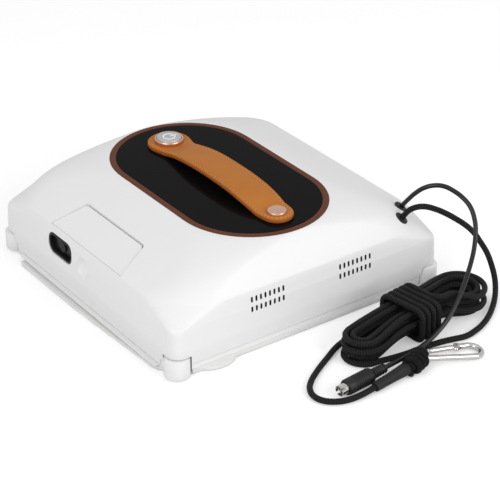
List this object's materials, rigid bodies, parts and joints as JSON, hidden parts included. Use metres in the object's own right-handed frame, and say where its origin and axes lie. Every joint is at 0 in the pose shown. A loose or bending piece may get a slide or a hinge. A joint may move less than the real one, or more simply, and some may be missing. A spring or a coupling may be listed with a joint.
{
  "type": "window cleaning robot",
  "caption": "Square suction window cleaning robot on two crawler tracks, with a leather strap, spray window, tank lid, power cable, and a coiled safety rope with a snap hook.",
  "frame": {"origin": "middle of the robot's box at the glass, measured without the cords", "axes": "+Z away from the glass, +X towards the rear, -X towards the spraying front, -Y towards the vented side where the cords lie"},
  "size_m": [0.2688, 0.3409, 0.0849],
  "materials": {
    "white_shell": "moulded, soft gloss",
    "white_roller": "hard plastic, satin",
    "copper_trim": "copper brown, satin",
    "black_gloss": "polished black",
    "tan_leather": "smooth tan leather",
    "rose_metal": "rose gold plating",
    "button_metal": "silver grey, satin",
    "symbol_white": "white inlay",
    "steel": "bright nickel plating",
    "clear_plastic": "translucent tank",
    "black_rubber": "matte black",
    "dark_plastic": "dark grey moulding",
    "silicone": "milky hose",
    "sensor_glass": "dark tinted window",
    "hook_strip": "hook and loop tape",
    "cloth": "white microfibre",
    "belt_rubber": "grooved rubber",
    "motor_metal": "plain steel can",
    "battery_wrap": "blue shrink wrap",
    "circuit_board": "green solder mask",
    "black_cord": "smooth black sheath"
  },
  "bodies": {
    "case": {"top_cover": "white_shell", "trim_ring": "copper_trim", "top_panel": "black_gloss", "handle_strap": "tan_leather", "button_bezel": "rose_metal", "deck_nuts": "steel", "handle_rivet": "rose_metal", "lid_hinge_pin": "steel", "water_tank": "clear_plastic", "tank_plug": "black_rubber", "spray_pump": "dark_plastic", "spray_tube": "silicone", "nozzle_bezel": "black_gloss", "spray_nozzle": "steel", "cable_grommet": "black_rubber", "rope_grommet": "black_rubber", "base_tray": "white_shell", "base_screws": "steel", "edge_sensor_windows": "sensor_glass", "hook_strips": "hook_strip", "cleaning_cloth": "cloth", "roller_screws": "steel", "track_belt_left": "belt_rubber", "track_frame_left": "dark_plastic", "gearmotor_left": "motor_metal", "track_belt_right": "belt_rubber", "track_frame_right": "dark_plastic", "gearmotor_right": "motor_metal", "idler_axles": "steel", "inlet_grille": "dark_plastic", "fan_housing": "dark_plastic", "fan_motor": "motor_metal", "battery_pack": "battery_wrap", "control_board": "circuit_board", "power_cable": "black_cord", "dc_plug": "black_rubber", "plug_shell": "steel", "safety_rope": "black_cord", "rope_hank": "black_cord", "rope_tail": "black_cord", "rope_sleeve": "black_cord", "rope_knot": "black_cord", "snap_hook": "steel", "gate_pin": "steel"},
    "button": {"power_button": "button_metal", "button_symbol": "symbol_white"},
    "lid": {"tank_lid": "white_shell"},
    "fan": {"fan_impeller": "dark_plastic", "fan_shaft": "steel"},
    "hook_gate": {"snap_gate": "steel"},
    "roller_front_left": {"corner_roller_front_left": "white_roller"},
    "roller_front_right": {"corner_roller_front_right": "white_roller"},
    "roller_rear_left": {"corner_roller_rear_left": "white_roller"},
    "roller_rear_right": {"corner_roller_rear_right": "white_roller"},
    "drive_left": {"drive_pulley_left": "dark_plastic", "drive_shaft_left": "steel"},
    "idler_left": {"idler_pulley_left": "dark_plastic"},
    "drive_right": {"drive_pulley_right": "dark_plastic", "drive_shaft_right": "steel"},
    "idler_right": {"idler_pulley_right": "dark_plastic"}
  },
  "joints": [
    {"name": "button_press", "type": "slide", "parent": "case", "child": "button", "axis": [0, 0, -1], "range_m": [0, 0.001], "stiffness_N_per_m": 600},
    {"name": "tank_lid_hinge", "type": "hinge", "parent": "case", "child": "lid", "pos_m": [-0.0925, 0, 0.05993], "axis": [0, 1, 0], "range_deg": [0, 80]},
    {"name": "roller_front_left_spin", "type": "hinge", "parent": "case", "child": "roller_front_left", "pos_m": [-0.112, -0.112, 0.01], "axis": [0, 0, 1], "continuous": true},
    {"name": "roller_front_right_spin", "type": "hinge", "parent": "case", "child": "roller_front_right", "pos_m": [-0.112, 0.112, 0.01], "axis": [0, 0, 1], "continuous": true},
    {"name": "roller_rear_left_spin", "type": "hinge", "parent": "case", "child": "roller_rear_left", "pos_m": [0.112, -0.112, 0.01], "axis": [0, 0, 1], "continuous": true},
    {"name": "roller_rear_right_spin", "type": "hinge", "parent": "case", "child": "roller_rear_right", "pos_m": [0.112, 0.112, 0.01], "axis": [0, 0, 1], "continuous": true},
    {"name": "drive_left_spin", "type": "hinge", "parent": "case", "child": "drive_left", "pos_m": [0.052, -0.066, 0.014], "axis": [0, 1, 0], "continuous": true},
    {"name": "idler_left_spin", "type": "hinge", "parent": "case", "child": "idler_left", "pos_m": [-0.052, -0.066, 0.014], "axis": [0, 1, 0], "continuous": true},
    {"name": "drive_right_spin", "type": "hinge", "parent": "case", "child": "drive_right", "pos_m": [0.052, 0.066, 0.014], "axis": [0, 1, 0], "continuous": true},
    {"name": "idler_right_spin", "type": "hinge", "parent": "case", "child": "idler_right", "pos_m": [-0.052, 0.066, 0.014], "axis": [0, 1, 0], "continuous": true},
    {"name": "fan_spin", "type": "hinge", "parent": "case", "child": "fan", "pos_m": [0, 0, 0.02], "axis": [0, 0, 1], "continuous": true},
    {"name": "hook_gate_hinge", "type": "hinge", "parent": "case", "child": "hook_gate", "pos_m": [0.06609, -0.20126, 0.00382], "axis": [0.0988, -0.0302, 0.9947], "range_deg": [0, 13], "stiffness_Nm_per_rad": 0.02}
  ],
  "couplings": [
    {"joint": "idler_left_spin", "follows": "drive_left_spin", "ratio": 1},
    {"joint": "idler_right_spin", "follows": "drive_right_spin", "ratio": 1}
  ]
}
